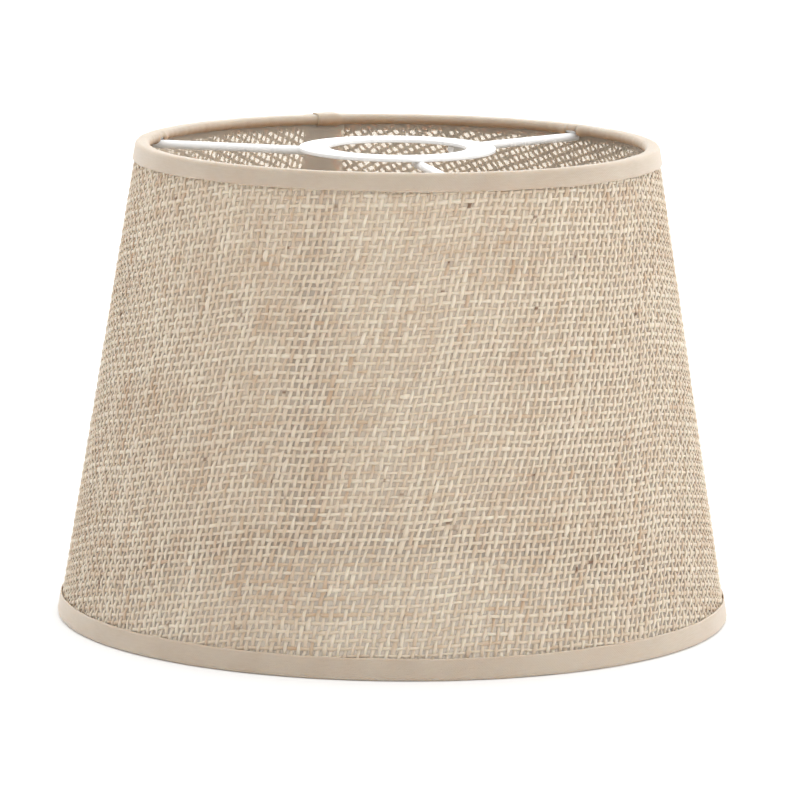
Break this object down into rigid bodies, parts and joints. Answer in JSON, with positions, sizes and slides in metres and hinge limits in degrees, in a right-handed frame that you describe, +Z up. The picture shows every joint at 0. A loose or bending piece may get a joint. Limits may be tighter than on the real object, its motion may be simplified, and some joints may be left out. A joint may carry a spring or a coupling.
{
  "type": "lamp shade",
  "caption": "Tapered table-lamp shade of open-weave jute on a clear film, with folded cotton rims, wire rings and a flat ring fitter on wire arms.",
  "frame": {"origin": "centre of the bottom rim, on the surface the shade stands on", "axes": "+Z up along the shade's axis, from the wide rim to the narrow rim with the fitter; -Y towards the front, so the lapped seam is at the back, 12.5 to 21.5 degrees from +Y towards -X"},
  "size_m": [0.1998, 0.1998, 0.141],
  "materials": {
    "jute": "matte",
    "clear_film": "gloss",
    "adhesive_tape": "matte",
    "cotton_tape": "matte",
    "white_coated_steel": "satin"
  },
  "bodies": {
    "root": {"jute_cover": "jute", "film_liner": "clear_film", "seam_tape": "adhesive_tape", "top_binding": "cotton_tape", "bottom_binding": "cotton_tape", "top_wire_ring": "white_coated_steel", "bottom_wire_ring": "white_coated_steel", "fitter_ring": "white_coated_steel", "front_arm": "white_coated_steel", "right_arm": "white_coated_steel", "left_arm": "white_coated_steel"}
  },
  "joints": []
}
